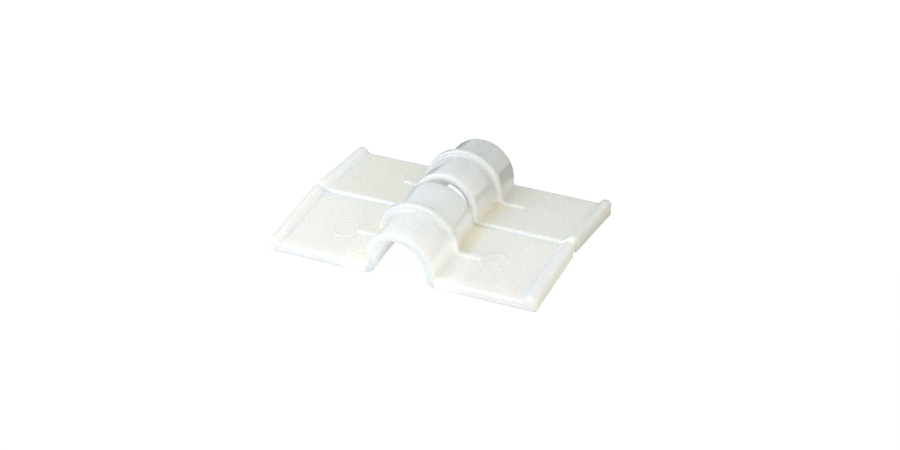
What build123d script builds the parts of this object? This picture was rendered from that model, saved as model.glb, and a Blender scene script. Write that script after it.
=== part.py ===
"""Winged cable clip: two moulded clips end to end, still joined by their thin tear web.

One piece of natural plastic. Each clip is an arch over the cable with a flat wing on both sides,
a lip along the outer edge of each wing, and a stiffening rib round the middle of the arch that
runs out over the wings to a ring, which marks the place of the nail. The pair is bent a little at
the web, so it stands like a low roof on the bottom edges of its two free ends.

Frame: X across the wings, Y along the cable, Z up, origin on the ground below the middle of the web.
"""
import os
from math import cos, radians, sin

from build123d import *

# Sizes of the pair, in millimetres and degrees
clip_width = 50.0
unit_length = 17.2
fold_angle = 10.0
web_thickness = 0.5
web_draft = 3.0
notch_radius = 1.1
notch_depth = 0.75

# Wings, and the lips along their outer edges
plate_thickness = 1.85
edge_radius = 0.6
lip_width = 2.4
lip_crest = 1.4
lip_height = 1.0
lip_radius = 0.7
lip_side_radius = 0.95
lip_foot_radius = 0.7

# Arch and the tunnel under it
tunnel_radius = 4.75
arch_wall = 1.5
leg_height = 1.3
root_radius = 0.5
mouth_radius = 1.7
rim_radius = 0.25

# Rib round the arch with its bars on the wings, and the nail rings
rib_from_web = 9.0
rib_width = 1.4
rib_height = 1.1
rib_edge_radius = 0.3
rib_foot_radius = 0.75
bar_height = 0.4
nail_from_arch = 7.85
nail_ring_radius = 2.25
ring_bead_radius = 0.3
ring_bead_height = 0.12

# Sizes that follow from those above; a fillet stays inside the corner that it runs round
half_width = clip_width / 2
lip_top = plate_thickness + lip_height
lip_corner = min(lip_radius, 0.5 * lip_crest)
lip_side = min(lip_side_radius, 0.68 * lip_crest)
end_radius = min(edge_radius, 0.9 * lip_corner)
springing_height = plate_thickness + leg_height
arch_radius = tunnel_radius + arch_wall
rib_radius = arch_radius + rib_height
rib_edge = min(rib_edge_radius, 0.9 * bar_height, 0.45 * rib_width)
rib_foot = min(rib_foot_radius, 0.75 * rib_height)
foot_bite = 0.02 * rib_foot
bar_top = plate_thickness + bar_height
nail_offset = arch_radius + nail_from_arch
bar_end = nail_offset - nail_ring_radius
lean = fold_angle / 2
ridge_height = (unit_length - rim_radius) * sin(radians(lean)) + rim_radius * (1 - cos(radians(lean)))
web_inner_end = arch_radius + root_radius

# Rib with its two bars, one band across the clip, sunk to half the plate
with BuildPart() as rib:
    with BuildSketch(Plane.XZ.offset(rib_from_web - rib_width / 2)):
        with BuildLine():
            crown = CenterArc((0, springing_height), rib_radius, 0, 90)
            bar = FilletPolyline(
                crown @ 0,
                (rib_radius, bar_top),
                (bar_end, bar_top),
                (bar_end, plate_thickness / 2),
                radius=[root_radius, bar_height],
            )
            Line(bar @ 1, (0, plate_thickness / 2))
            mirror(about=Plane.YZ)
        make_face()
    extrude(amount=rib_width)
    rib_sides = rib.faces().filter_by(Axis.Y)
    fillet(rib_sides.edges().filter_by(lambda edge: edge.center().Z > plate_thickness), rib_edge)

    # Cove along both feet of the rib, from wing to wing over the arch, that bites a little into both
    foot_side = -rib_from_web - rib_width / 2
    foot_high = arch_radius + rib_foot - foot_bite
    foot_end = foot_side - rib_foot + foot_bite
    with BuildSketch(Plane.XY.offset(springing_height)) as cove:
        with BuildLine():
            hollow = CenterArc((-foot_high, foot_end), rib_foot, 0, 90)
            Polyline(
                hollow @ 1,
                (-foot_high, -rib_from_web),
                (-tunnel_radius - arch_wall / 2, -rib_from_web),
                (-tunnel_radius - arch_wall / 2, foot_end),
                hollow @ 0,
            )
        make_face()
        mirror(about=Plane.XZ.offset(rib_from_web))
    revolve(axis=Axis((0, 0, springing_height), (0, 1, 0)), revolution_arc=180)
    with BuildPart(mode=Mode.PRIVATE) as feet:
        add(cove.sketch)
        extrude(amount=-leg_height - plate_thickness / 2)
        mirror(about=Plane.YZ)
    add(feet.part)

# One clip, flat on the ground, from the web at Y = 0 to its free end
with BuildPart() as unit:
    with BuildSketch(Plane.XZ):
        with BuildLine():
            crown = CenterArc((0, springing_height), arch_radius, 0, 90)
            wing = FilletPolyline(
                crown @ 0,
                (arch_radius, plate_thickness),
                (half_width - lip_width, plate_thickness),
                (half_width - lip_crest, lip_top),
                (half_width, lip_top),
                (half_width, 0),
                radius=[root_radius, lip_foot_radius, lip_corner, lip_side],
            )
            Line(wing @ 1, (0, 0))
            mirror(about=Plane.YZ)
        make_face()
    extrude(amount=unit_length)

    # The end at the web is drafted, so that the two arches stand clear of each other
    split(bisect_by=Plane.XZ.rotated((web_draft, 0, 0)), keep=Keep.TOP)
    along = unit.faces().sort_by(Axis.Y)
    ends = ShapeList([along[0], along[-1]])
    fillet(ends.edges().filter_by(lambda edge: edge.center().Z > 0.1 * plate_thickness), end_radius)
    add(rib.part)
    ring_height = plate_thickness + ring_bead_height - ring_bead_radius
    with Locations((-nail_offset, -rib_from_web, ring_height), (nail_offset, -rib_from_web, ring_height)):
        Torus(nail_ring_radius, ring_bead_radius)

    # The tunnel flares out at the ground, and its rims and the edges of the underside are eased
    with BuildSketch(Plane.XZ):
        with BuildLine():
            vault = CenterArc((0, springing_height), tunnel_radius, 0, 90)
            flare = CenterArc((tunnel_radius + mouth_radius, mouth_radius), mouth_radius, 180, 90)
            Line(vault @ 0, flare @ 0)
            Line(flare @ 1, (0, 0))
            mirror(about=Plane.YZ)
        make_face()
    extrude(amount=unit_length, mode=Mode.SUBTRACT)
    arcs = unit.edges().filter_by(GeomType.CIRCLE)
    fillet(arcs.filter_by(lambda edge: abs(edge.radius - tunnel_radius) < 1e-6), rim_radius)

# The pair: the clip leaned down from the web, half of the web, and the mirror image of both
with BuildPart() as cable_clip:
    with Locations(Location((0, 0, ridge_height), (lean, 0, 0))):
        add(unit.part)
    web_middle = (web_inner_end + half_width) / 2
    with Locations((-web_middle, 0, ridge_height), (web_middle, 0, ridge_height)):
        Box(
            half_width - web_inner_end,
            web_thickness,
            web_thickness,
            align=(Align.CENTER, Align.MAX, Align.MIN),
        )
    mirror(about=Plane.XZ)
    notch_middle = half_width + notch_radius - notch_depth
    with Locations((-notch_middle, 0, 0), (notch_middle, 0, 0)):
        Cylinder(
            notch_radius,
            ridge_height + 2 * lip_top,
            align=(Align.CENTER, Align.CENTER, Align.MIN),
            mode=Mode.SUBTRACT,
        )

cable_clip.part.label = "cable_clip"
os.makedirs("parts", exist_ok=True)
export_step(cable_clip.part, "parts/cable_clip.step")
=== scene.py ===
"""Looks of the winged cable clip: milky natural plastic on a white floor, seen as in the photograph."""
from math import cos, radians, sin
from types import SimpleNamespace

import bpy
from mathutils import Matrix, Vector

# Camera, in degrees, metres and pixels of the photograph's 900 x 450 frame
CAMERA_YAW = 25.5
CAMERA_ELEVATION = 31.5
CAMERA_ROLL = -1.25
CAMERA_DISTANCE = 0.393
CAMERA_TARGET = Vector((0.0, 0.0, 0.00315))
CAMERA_OFFSET_RIGHT = 0.00138
CAMERA_OFFSET_UP = -0.00152
CAMERA_CLIP_START = 0.01
FOCAL_LENGTH_PX = 2258.0
FRAME_WIDTH_PX = 900
SENSOR_WIDTH_MM = 36.0

# Studio, in metres and linear light: soft warm light from the front right and soft light from above,
# a cool window at the front left that the gloss shows, and a lamp at the front right that it doesn't
WHITE = (1.0, 1.0, 1.0, 1.0)
SURROUNDINGS = {
    "front right": {"axis": (0.707, -0.707, 0.0), "colour": (1.02, 0.93, 0.86, 1.0)},
    "above": {"axis": (0.0, 0.0, 1.0), "colour": (0.585, 0.645, 0.585, 1.0)},
}
LAMPS = {
    "window": {
        "position": (-0.16, -0.12, 0.15),
        "size": 0.20,
        "power": 0.456,
        "colour": (0.87, 0.91, 1.0),
        "in_gloss": True,
    },
    "right": {
        "position": (0.25, -0.25, 0.12),
        "size": 0.20,
        "power": 0.29,
        "colour": (1.0, 1.0, 0.93),
        "in_gloss": False,
    },
}

# Floor: dark to the rear for all but the camera, with a trace of the object's shadow in front
FLOOR_SIZE = 6.0
FLOOR_COLOUR = (0.90, 0.90, 0.89, 1.0)
FLOOR_REAR_COLOUR = (0.20, 0.20, 0.19, 1.0)
FLOOR_REAR_Y = (0.019, 0.023)
FLOOR_CLEAR_Y = (0.013, 0.018)
FLOOR_GLOW = 1.03
FLOOR_SHADOW_SHARE = 0.07

# Bright screen beyond the clip on the right, that only the gloss shows
SCREEN_GLOW = 1.7
SCREEN_CORNERS = ((0.02, 0.20, 0.003), (0.26, 0.20, 0.003), (0.26, 0.20, 0.20), (0.02, 0.20, 0.20))

# Plastic: warm and ivory in the wings, cooler in the arch; the rest is painted light and shade, whiter at
# the roots, the ends, the web and in the tunnel
WING_COLOUR = (0.853, 0.82, 0.787, 1.0)
# Painted light: the rear-left wing is a little warmer, a tone that stands in for the light there
REAR_WING_COLOUR = (0.857, 0.823, 0.76, 1.0)
ARCH_COLOUR = (0.811, 0.815, 0.814, 1.0)
# Painted shade on the arch: cooler and darker at the front left, darker towards the rear, most on the right
# flank there; painted warm light on the right flank
LEFT_ARCH_SHADE_COLOUR = (0.772, 0.787, 0.793, 1.0)
REAR_ARCH_SHADE_COLOUR = (0.62, 0.64, 0.65, 1.0)
FLANK_SHADING_COLOUR = (0.80, 0.79, 0.765, 1.0)
REAR_FLANK_SHADING_COLOUR = (0.585, 0.595, 0.59, 1.0)
# The lips' crests are cooler than the wings, and darker as painted shade; painted light makes them lighter
# at the rear left, and painted shade darker on the right
LIP_COLOUR = (0.765, 0.77, 0.785, 1.0)
REAR_LIP_LIGHT_COLOUR = (0.81, 0.825, 0.865, 1.0)
RIGHT_LIP_SHADE_COLOUR = (0.735, 0.745, 0.78, 1.0)
REAR_RIGHT_LIP_SHADE_COLOUR = (0.685, 0.70, 0.71, 1.0)
# Painted light in the crease at the foot of the lips
LIP_FOOT_LIGHT_COLOUR = (0.83, 0.835, 0.84, 1.0)
# Painted light on the inner slopes of the left lips, more at the rear
LEFT_SLOPE_LIGHT_COLOUR = (0.85, 0.85, 0.85, 1.0)
REAR_LEFT_SLOPE_LIGHT_COLOUR = (0.925, 0.93, 0.955, 1.0)
# Painted shade on the outer rounding of the left lip
LIP_OUTER_SHADE_COLOUR = (0.62, 0.625, 0.63, 1.0)
# Painted shade on the lips' outer sides, warm, stronger low down and to the rear
LIP_SIDE_SHADE_COLOUR = (0.74, 0.70, 0.56, 1.0)
REAR_LIP_SIDE_SHADE_COLOUR = (0.54, 0.52, 0.41, 1.0)
# Painted shade high on the end faces, painted light low on them
FACE_SHADE_COLOUR = (0.735, 0.725, 0.745, 1.0)
FACE_FOOT_LIGHT_COLOUR = (0.96, 0.94, 0.95, 1.0)
# Painted highlight along the web, fainter where it crosses the lips
WEB_HIGHLIGHT_COLOUR = (0.985, 0.975, 0.95, 1.0)
WEB_LIP_HIGHLIGHT_COLOUR = (0.86, 0.87, 0.88, 1.0)
# Painted light on the bars, near the wings' tone, to brighten their edge lines
BAR_COLOUR = (0.85, 0.84, 0.79, 1.0)
# Painted shade on the rib round the arch
RIB_SHADE_COLOUR = (0.77, 0.77, 0.765, 1.0)
# Painted light on the arch's roots, warmer on the left, and warm painted shade in the corner from web to rib
ROOT_LIGHT_COLOUR = (0.948, 0.948, 0.945, 1.0)
LEFT_ROOT_LIGHT_COLOUR = (0.915, 0.875, 0.815, 1.0)
CORNER_SHADE_COLOUR = (0.885, 0.82, 0.70, 1.0)
# Painted light inside the tunnel and on the rims at the web; painted shade, darker and bluer, on the rims at
# the free ends
TUNNEL_LIGHT_COLOUR = (0.98, 0.98, 0.985, 1.0)
RIM_COLOUR = (0.67, 0.705, 0.77, 1.0)
INNER_RIM_COLOUR = (0.93, 0.93, 0.915, 1.0)
PLASTIC_IOR = 1.5

# Light scattered below the surface: depths in metres, and the share of the depth that the arch's roots have
SCATTER_WEIGHT = 1.0
SCATTER_TINT = (1.0, 0.85, 0.65)
WING_SCATTER_DEPTH = 0.0030
ARCH_SCATTER_DEPTH = 0.0070
TUNNEL_SCATTER_DEPTH = 0.016
ROOT_DEPTH_SHARE = 0.5

# Faint clouds and fine speckle in the plastic, and the moulded grain of its skin
CLOUDS = {"scale": 160.0, "detail": 3.0, "roughness": 0.55}
CLOUD_COLOUR = (0.55, 0.55, 0.50, 1.0)
CLOUD_SHARE = 0.05
SPECKLE = {"scale": 4200.0, "detail": 1.0, "roughness": 0.5}
SPECKLE_BRIGHTNESS = (0.75, 1.25)
GRAIN = {"scale": 2600.0, "detail": 2.0, "roughness": 0.5}
GRAIN_GLOSS = (0.06, 0.16)
GRAIN_BUMP = 0.15
GRAIN_DEPTH = 0.00005

# The clip as the tints need it, in metres and degrees
UNIT_LEAN = 5.0
RIDGE_HEIGHT = 0.00148
ARCH_AXIS = 0.00315
RIB_FROM_WEB = 0.0090

# Where the tints lie, in metres: a pair runs from no tint to full tint, and two pairs bound a band.
# X and Y are the part's own axes. The rest is measured on one clip laid flat: across from its middle
# plane, along from the web, above from its underside, from the rib's middle, and radius from the arch's axis
ARCH_ABOVE = (0.00235, 0.00515)
REAR_ARCH_Y = (0.002, 0.0125)
LEFT_ARCH_X = (0.002, -0.0005)
LEFT_ARCH_Y = (-0.009, -0.011)
FLANK_X = (0.002, 0.0055)
REAR_FLANK_Y = (0.0, 0.0125)
BEHIND_X = (0.005, -0.005)
BEHIND_Y = (0.0, 0.002)
LIP_ACROSS = (0.0222, 0.0234)
RIGHT_LIP_X = (-0.001, 0.001)
REAR_RIGHT_LIP_Y = (-0.002, 0.002)
LIP_FOOT_ACROSS = ((0.0218, 0.0225), (0.0237, 0.0230))
LEFT_SLOPE_X = ((-0.0215, -0.0221), (-0.0240, -0.0233))
LIP_OUTER_X = (-0.0239, -0.0248)
LIP_SIDE_ACROSS = (0.0243, 0.0249)
LIP_SIDE_ABOVE = (0.0029, 0.0004)
REAR_LIP_SIDE_Y = (-0.004, 0.004)
FREE_END_ALONG = (0.0164, 0.0168)
FACE_ABOVE = (0.0003, 0.0011)
WEB_ALONG = (0.0009, 0.0003)
BAR_FROM_RIB = (0.0009, 0.0007)
BAR_ACROSS = ((0.0070, 0.0080), (0.0119, 0.0118))
RIB_FROM_RIB = (0.0015, 0.0010)
RIB_RADIUS = (0.0064, 0.0068)
ROOT_ACROSS = ((0.0052, 0.0060), (0.0125, 0.0085))
ROOT_ABOVE = (0.0062, 0.0040)
ROOT_ALONG = (0.0080, 0.0100)
ROOT_Y = (0.0, -0.001)
RIGHT_ROOT_X = (-0.002, 0.002)
CORNER_ACROSS = ((0.0052, 0.0060), (0.0105, 0.0074))
CORNER_ABOVE = (0.0030, 0.0022)
CORNER_ALONG = (0.0090, 0.0075)
RIGHT_CORNER_X = (-0.001, 0.001)
TUNNEL_RADIUS = (0.0055, 0.0051)
RIM_RADIUS = (0.00675, 0.00625)
RIM_ALONG = (0.0167, 0.0171)

# Shares of a painted tint where it is weaker: the painted light of the root between web and rib, and the
# painted shade of the corner on the left
ROOT_SHARE_BEFORE_RIB = 0.7
LEFT_CORNER_SHARE = 0.4


def link(tree, source, target):
    tree.links.new(source, target)


def new_material(name):
    """An empty node material with its output node."""
    material = bpy.data.materials.new(name)
    material.use_nodes = True
    tree = material.node_tree
    tree.nodes.clear()
    output = tree.nodes.new("ShaderNodeOutputMaterial")
    return material, tree, output


def noise(tree, coordinates, scale, detail, roughness):
    texture = tree.nodes.new("ShaderNodeTexNoise")
    texture.inputs["Scale"].default_value = scale
    texture.inputs["Detail"].default_value = detail
    texture.inputs["Roughness"].default_value = roughness
    link(tree, coordinates, texture.inputs["Vector"])
    return texture.outputs["Fac"]


def ranged(tree, value, low, high):
    """A 0 to 1 value spread over low to high."""
    spread = tree.nodes.new("ShaderNodeMapRange")
    spread.inputs["To Min"].default_value = low
    spread.inputs["To Max"].default_value = high
    link(tree, value, spread.inputs["Value"])
    return spread.outputs["Result"]


def rise(tree, value, none, full):
    """0 where the value is at none, 1 where it is at full, smooth between."""
    step = tree.nodes.new("ShaderNodeMapRange")
    step.interpolation_type = "SMOOTHSTEP"
    step.inputs["From Min"].default_value = none
    step.inputs["From Max"].default_value = full
    link(tree, value, step.inputs["Value"])
    return step.outputs["Result"]


def reckon(tree, operation, first, second=None):
    """One Math node; each input is a socket or a number."""
    node = tree.nodes.new("ShaderNodeMath")
    node.operation = operation
    for socket, value in zip(node.inputs, (first, second)):
        if isinstance(value, (int, float)):
            socket.default_value = value
        elif value is not None:
            link(tree, value, socket)
    return node.outputs[0]


def overlap(tree, first, *others):
    """The share of a place where all the given shares hold at once."""
    for other in others:
        first = reckon(tree, "MULTIPLY", first, other)
    return first


def band(tree, value, one_side, other_side):
    """1 within a band, and a smooth fall to 0 on both of its sides."""
    return overlap(tree, rise(tree, value, *one_side), rise(tree, value, *other_side))


def blend_colour(tree, share, first, second):
    """From the first colour to the second by share; each is a socket or a colour."""
    mix = tree.nodes.new("ShaderNodeMix")
    mix.data_type = "RGBA"
    link(tree, share, mix.inputs["Factor"])
    for name, value in (("A", first), ("B", second)):
        socket = next(item for item in mix.inputs if item.name == name and item.type == "RGBA")
        if isinstance(value, tuple):
            socket.default_value = value
        else:
            link(tree, value, socket)
    return next(item for item in mix.outputs if item.type == "RGBA")


def clip_places(tree, coordinates):
    """Measures of a place on the clip, and the shares there that several tints need, all as sockets."""
    split = tree.nodes.new("ShaderNodeSeparateXYZ")
    link(tree, coordinates, split.inputs[0])
    place = SimpleNamespace(x=split.outputs["X"], y=split.outputs["Y"])
    place.across = reckon(tree, "ABSOLUTE", place.x)

    length = reckon(tree, "ABSOLUTE", place.y)
    height = reckon(tree, "SUBTRACT", split.outputs["Z"], RIDGE_HEIGHT)
    level = cos(radians(UNIT_LEAN))
    slope = sin(radians(UNIT_LEAN))
    level_length = reckon(tree, "MULTIPLY", length, level)
    level_height = reckon(tree, "MULTIPLY", height, level)
    place.along = reckon(tree, "SUBTRACT", level_length, reckon(tree, "MULTIPLY", height, slope))
    place.above = reckon(tree, "ADD", level_height, reckon(tree, "MULTIPLY", length, slope))
    place.from_rib = reckon(tree, "ABSOLUTE", reckon(tree, "SUBTRACT", place.along, RIB_FROM_WEB))
    over_axis = reckon(tree, "MAXIMUM", reckon(tree, "SUBTRACT", place.above, ARCH_AXIS), 0.0)
    squares = [reckon(tree, "POWER", side, 2.0) for side in (place.across, over_axis)]
    place.radius = reckon(tree, "SQRT", reckon(tree, "ADD", *squares))

    place.arch = rise(tree, place.above, *ARCH_ABOVE)
    place.behind = overlap(tree, rise(tree, place.y, *BEHIND_Y), rise(tree, place.x, *BEHIND_X))
    place.lip = rise(tree, place.across, *LIP_ACROSS)
    place.web = rise(tree, place.along, *WEB_ALONG)
    place.tunnel = rise(tree, place.radius, *TUNNEL_RADIUS)
    place.root = overlap(
        tree,
        band(tree, place.across, *ROOT_ACROSS),
        rise(tree, place.above, *ROOT_ABOVE),
        ranged(tree, rise(tree, place.along, *ROOT_ALONG), ROOT_SHARE_BEFORE_RIB, 1.0),
        rise(tree, place.y, *ROOT_Y),
    )
    return place


def arch_colour(tree, place):
    """The arch, with painted shade: darker to the rear, a little cooler and darker at the front left; and
    painted warm light on its right side.
    """
    rear = rise(tree, place.y, *REAR_ARCH_Y)
    crown = blend_colour(tree, rear, ARCH_COLOUR, REAR_ARCH_SHADE_COLOUR)
    front_left = overlap(tree, rise(tree, place.x, *LEFT_ARCH_X), rise(tree, place.y, *LEFT_ARCH_Y))
    crown = blend_colour(tree, front_left, crown, LEFT_ARCH_SHADE_COLOUR)
    rear_flank = rise(tree, place.y, *REAR_FLANK_Y)
    flank = blend_colour(tree, rear_flank, FLANK_SHADING_COLOUR, REAR_FLANK_SHADING_COLOUR)
    return blend_colour(tree, rise(tree, place.x, *FLANK_X), crown, flank)


def lip_layers(tree, place):
    """Tints of the lips, mostly painted light and shade: the crests by side, painted light on the foot and
    on the inner slopes on the left, and painted shade on the outer side on the left.
    """
    left = blend_colour(tree, place.behind, LIP_COLOUR, REAR_LIP_LIGHT_COLOUR)
    rear_right = rise(tree, place.y, *REAR_RIGHT_LIP_Y)
    right = blend_colour(tree, rear_right, RIGHT_LIP_SHADE_COLOUR, REAR_RIGHT_LIP_SHADE_COLOUR)
    crest = blend_colour(tree, rise(tree, place.x, *RIGHT_LIP_X), left, right)
    left_slope = blend_colour(tree, place.behind, LEFT_SLOPE_LIGHT_COLOUR, REAR_LEFT_SLOPE_LIGHT_COLOUR)
    return [
        (place.lip, crest),
        (band(tree, place.across, *LIP_FOOT_ACROSS), LIP_FOOT_LIGHT_COLOUR),
        (band(tree, place.x, *LEFT_SLOPE_X), left_slope),
        (rise(tree, place.x, *LIP_OUTER_X), LIP_OUTER_SHADE_COLOUR),
    ]


def end_layers(tree, place):
    """Painted shade high on the end faces and painted light low on them, and a painted highlight along the
    web.
    """
    face = blend_colour(tree, rise(tree, place.above, *FACE_ABOVE), FACE_FOOT_LIGHT_COLOUR, FACE_SHADE_COLOUR)
    web = blend_colour(tree, place.lip, WEB_HIGHLIGHT_COLOUR, WEB_LIP_HIGHLIGHT_COLOUR)
    return [(rise(tree, place.along, *FREE_END_ALONG), face), (place.web, web)]


def rib_layers(tree, place):
    """Painted light on the bars on the wings, and painted shade on the rib round the arch."""
    bar = overlap(tree, rise(tree, place.from_rib, *BAR_FROM_RIB), band(tree, place.across, *BAR_ACROSS))
    rib = overlap(tree, rise(tree, place.from_rib, *RIB_FROM_RIB), rise(tree, place.radius, *RIB_RADIUS))
    return [(bar, BAR_COLOUR), (overlap(tree, rib, place.arch), RIB_SHADE_COLOUR)]


def lip_side_layers(tree, place):
    """Painted shade on the lips' outer sides, stronger towards the floor."""
    low = overlap(tree, rise(tree, place.across, *LIP_SIDE_ACROSS), rise(tree, place.above, *LIP_SIDE_ABOVE))
    rear = rise(tree, place.y, *REAR_LIP_SIDE_Y)
    return [(low, blend_colour(tree, rear, LIP_SIDE_SHADE_COLOUR, REAR_LIP_SIDE_SHADE_COLOUR))]


def root_layers(tree, place):
    """Painted light and shade where the arch meets the wings: pale painted light on the roots in front,
    yellowish painted shade in the corner from web to rib.
    """
    right = rise(tree, place.x, *RIGHT_ROOT_X)
    corner = overlap(
        tree,
        band(tree, place.across, *CORNER_ACROSS),
        rise(tree, place.above, *CORNER_ABOVE),
        ranged(tree, rise(tree, place.x, *RIGHT_CORNER_X), LEFT_CORNER_SHARE, 1.0),
        rise(tree, place.along, *CORNER_ALONG),
    )
    return [
        (place.root, blend_colour(tree, right, LEFT_ROOT_LIGHT_COLOUR, ROOT_LIGHT_COLOUR)),
        (corner, CORNER_SHADE_COLOUR),
    ]


def tunnel_layers(tree, place):
    """Painted light inside the tunnel and on the arch's rims at the web, and painted shade on the rims at
    the free end.
    """
    rim = rise(tree, place.radius, *RIM_RADIUS)
    return [
        (place.tunnel, TUNNEL_LIGHT_COLOUR),
        (overlap(tree, rim, place.web), INNER_RIM_COLOUR),
        (overlap(tree, rim, rise(tree, place.along, *RIM_ALONG)), RIM_COLOUR),
    ]


def plastic_tint(tree, place):
    """Colour of the plastic by place: wings and arch, with the painted light and shade of the other tints
    laid over them in turn.
    """
    # The rear-left wing's warmer tone is painted light
    wing = blend_colour(tree, place.behind, WING_COLOUR, REAR_WING_COLOUR)
    tint = blend_colour(tree, place.arch, wing, arch_colour(tree, place))
    for layers in (lip_layers, end_layers, rib_layers, lip_side_layers, root_layers, tunnel_layers):
        for share, colour in layers(tree, place):
            tint = blend_colour(tree, share, tint, colour)
    return tint


def scatter_depth(tree, place):
    """How deep light goes into the plastic: deeper in the arch than in the wings, deepest in the tunnel."""
    depth = ranged(tree, place.arch, WING_SCATTER_DEPTH, ARCH_SCATTER_DEPTH)
    depth = reckon(tree, "MULTIPLY", depth, ranged(tree, place.root, 1.0, ROOT_DEPTH_SHARE))
    return reckon(tree, "MAXIMUM", depth, ranged(tree, place.tunnel, 0.0, TUNNEL_SCATTER_DEPTH))


def natural_plastic():
    """Milky, slightly translucent plastic with faint clouds and a fine moulded grain, and light and shade
    painted into its colour by place.
    """
    material, tree, output = new_material("natural_plastic")
    shader = tree.nodes.new("ShaderNodeBsdfPrincipled")
    link(tree, shader.outputs["BSDF"], output.inputs["Surface"])
    coordinates = tree.nodes.new("ShaderNodeTexCoord").outputs["Object"]
    place = clip_places(tree, coordinates)

    clouds = ranged(tree, noise(tree, coordinates, **CLOUDS), 0.0, CLOUD_SHARE)
    tint = blend_colour(tree, clouds, plastic_tint(tree, place), CLOUD_COLOUR)
    speckle = tree.nodes.new("ShaderNodeHueSaturation")
    link(tree, tint, speckle.inputs["Color"])
    brightness = ranged(tree, noise(tree, coordinates, **SPECKLE), *SPECKLE_BRIGHTNESS)
    link(tree, brightness, speckle.inputs["Value"])
    link(tree, speckle.outputs["Color"], shader.inputs["Base Color"])

    grain = noise(tree, coordinates, **GRAIN)
    link(tree, ranged(tree, grain, *GRAIN_GLOSS), shader.inputs["Roughness"])
    bump = tree.nodes.new("ShaderNodeBump")
    bump.inputs["Strength"].default_value = GRAIN_BUMP
    bump.inputs["Distance"].default_value = GRAIN_DEPTH
    link(tree, grain, bump.inputs["Height"])
    link(tree, bump.outputs["Normal"], shader.inputs["Normal"])

    shader.inputs["IOR"].default_value = PLASTIC_IOR
    shader.inputs["Subsurface Weight"].default_value = SCATTER_WEIGHT
    shader.inputs["Subsurface Radius"].default_value = SCATTER_TINT
    link(tree, scatter_depth(tree, place), shader.inputs["Subsurface Scale"])
    return material


def floor_material():
    """Pale floor, dark behind the clip; the camera sees it as white, with a trace of shadow in front."""
    material, tree, output = new_material("floor")
    place = tree.nodes.new("ShaderNodeSeparateXYZ")
    link(tree, tree.nodes.new("ShaderNodeTexCoord").outputs["Object"], place.inputs[0])
    rear = rise(tree, place.outputs["Y"], *FLOOR_REAR_Y)
    clear = rise(tree, place.outputs["Y"], *FLOOR_CLEAR_Y)
    path = tree.nodes.new("ShaderNodeLightPath")
    matt = tree.nodes.new("ShaderNodeBsdfDiffuse")
    link(tree, blend_colour(tree, rear, FLOOR_COLOUR, FLOOR_REAR_COLOUR), matt.inputs["Color"])
    glow = tree.nodes.new("ShaderNodeEmission")
    glow.inputs["Strength"].default_value = FLOOR_GLOW

    camera_share = reckon(tree, "MAXIMUM", clear, 1.0 - FLOOR_SHADOW_SHARE)
    camera_share = reckon(tree, "MULTIPLY", camera_share, path.outputs["Is Camera Ray"])
    gloss = reckon(tree, "MAXIMUM", path.outputs["Is Glossy Ray"], path.outputs["Is Transmission Ray"])
    gloss_share = reckon(tree, "MULTIPLY", gloss, reckon(tree, "SUBTRACT", 1.0, rear))
    mix = tree.nodes.new("ShaderNodeMixShader")
    link(tree, reckon(tree, "MAXIMUM", camera_share, gloss_share), mix.inputs["Fac"])
    link(tree, matt.outputs["BSDF"], mix.inputs[1])
    link(tree, glow.outputs["Emission"], mix.inputs[2])
    link(tree, mix.outputs["Shader"], output.inputs["Surface"])
    return material


def screen_material():
    material, tree, output = new_material("screen")
    glow = tree.nodes.new("ShaderNodeEmission")
    glow.inputs["Strength"].default_value = SCREEN_GLOW
    link(tree, glow.outputs["Emission"], output.inputs["Surface"])
    return material


def panel(name, corners, material):
    """A flat four-cornered piece of the stage."""
    mesh = bpy.data.meshes.new(name)
    mesh.from_pydata(corners, [], [(0, 1, 2, 3)])
    mesh.materials.append(material)
    piece = bpy.data.objects.new(name, mesh)
    bpy.context.scene.collection.objects.link(piece)
    return piece


def card(name, corners, material):
    """A panel that is seen in the gloss only, and neither lights nor shades anything."""
    piece = panel(name, corners, material)
    piece.visible_camera = False
    piece.visible_diffuse = False
    piece.visible_transmission = False
    piece.visible_shadow = False


def build_stage():
    half = FLOOR_SIZE / 2
    floor_corners = ((-half, -half, 0), (half, -half, 0), (half, half, 0), (-half, half, 0))
    panel("floor", floor_corners, floor_material())
    card("screen", SCREEN_CORNERS, screen_material())


def seen_ray(tree):
    """1 on the rays that look at the background: camera, glossy and transmission rays."""
    path = tree.nodes.new("ShaderNodeLightPath")
    either = reckon(tree, "MAXIMUM", path.outputs["Is Camera Ray"], path.outputs["Is Glossy Ray"])
    return reckon(tree, "MAXIMUM", either, path.outputs["Is Transmission Ray"])


def build_world():
    """White where it is looked at; its light on the object comes from the sides in SURROUNDINGS."""
    world = bpy.data.worlds.new("studio")
    bpy.context.scene.world = world
    world.use_nodes = True
    tree = world.node_tree
    tree.nodes.clear()
    output = tree.nodes.new("ShaderNodeOutputWorld")
    direction = tree.nodes.new("ShaderNodeTexCoord").outputs["Generated"]
    light = None
    for side in SURROUNDINGS.values():
        facing = tree.nodes.new("ShaderNodeVectorMath")
        facing.operation = "DOT_PRODUCT"
        facing.inputs[1].default_value = side["axis"]
        link(tree, direction, facing.inputs[0])
        glow = tree.nodes.new("ShaderNodeBackground")
        glow.inputs["Color"].default_value = side["colour"]
        link(tree, reckon(tree, "MAXIMUM", facing.outputs["Value"], 0.0), glow.inputs["Strength"])
        if light is None:
            light = glow.outputs["Background"]
        else:
            both = tree.nodes.new("ShaderNodeAddShader")
            link(tree, light, both.inputs[0])
            link(tree, glow.outputs["Background"], both.inputs[1])
            light = both.outputs["Shader"]

    white = tree.nodes.new("ShaderNodeBackground")
    white.inputs["Color"].default_value = WHITE
    mix = tree.nodes.new("ShaderNodeMixShader")
    link(tree, seen_ray(tree), mix.inputs["Fac"])
    link(tree, light, mix.inputs[1])
    link(tree, white.outputs["Background"], mix.inputs[2])
    link(tree, mix.outputs["Shader"], output.inputs["Surface"])


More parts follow.
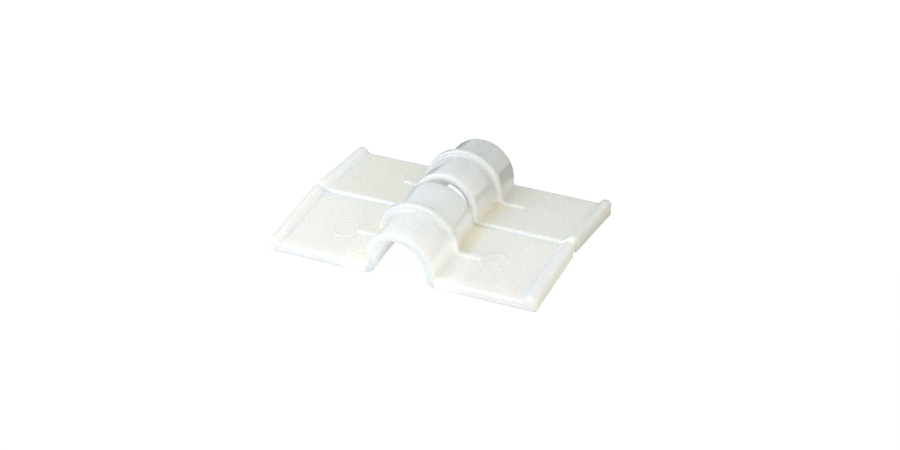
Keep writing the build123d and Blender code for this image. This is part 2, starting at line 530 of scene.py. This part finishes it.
def softbox(name, position, size, power, colour, in_gloss):
    """A square lamp that faces the object, and that its gloss shows or not."""
    lamp = bpy.data.lights.new(name, "AREA")
    lamp.size = size
    lamp.energy = power
    lamp.color = colour
    holder = bpy.data.objects.new(name, lamp)
    holder.location = position
    holder.rotation_euler = (CAMERA_TARGET - Vector(position)).to_track_quat("-Z", "Y").to_euler()
    holder.visible_glossy = in_gloss
    bpy.context.scene.collection.objects.link(holder)


def build_camera():
    yaw = radians(CAMERA_YAW)
    elevation = radians(CAMERA_ELEVATION)
    roll = radians(CAMERA_ROLL)
    back = Vector((sin(yaw) * cos(elevation), -cos(yaw) * cos(elevation), sin(elevation)))
    level = Vector((cos(yaw), sin(yaw), 0.0))
    upright = back.cross(level)
    right = cos(roll) * level + sin(roll) * upright
    up = cos(roll) * upright - sin(roll) * level
    place = CAMERA_TARGET + CAMERA_DISTANCE * back + CAMERA_OFFSET_RIGHT * right + CAMERA_OFFSET_UP * up
    data = bpy.data.cameras.new("camera")
    data.sensor_fit = "HORIZONTAL"
    data.sensor_width = SENSOR_WIDTH_MM
    data.lens = FOCAL_LENGTH_PX * SENSOR_WIDTH_MM / FRAME_WIDTH_PX
    data.clip_start = CAMERA_CLIP_START
    camera = bpy.data.objects.new("camera", data)
    camera.matrix_world = Matrix.Translation(place) @ Matrix((right, up, back)).transposed().to_4x4()
    bpy.context.scene.collection.objects.link(camera)
    bpy.context.scene.camera = camera


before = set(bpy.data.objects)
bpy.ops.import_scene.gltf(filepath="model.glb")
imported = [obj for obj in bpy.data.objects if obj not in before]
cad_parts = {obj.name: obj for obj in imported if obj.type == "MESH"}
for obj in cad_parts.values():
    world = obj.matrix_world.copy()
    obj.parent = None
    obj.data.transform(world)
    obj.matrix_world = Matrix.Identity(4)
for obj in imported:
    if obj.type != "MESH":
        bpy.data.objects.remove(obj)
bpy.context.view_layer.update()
bpy.context.scene.view_settings.view_transform = "Standard"

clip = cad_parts["cable_clip"]
clip.data.materials.clear()
clip.data.materials.append(natural_plastic())

build_stage()
build_world()
for lamp_name, lamp in LAMPS.items():
    softbox(lamp_name, **lamp)
build_camera()
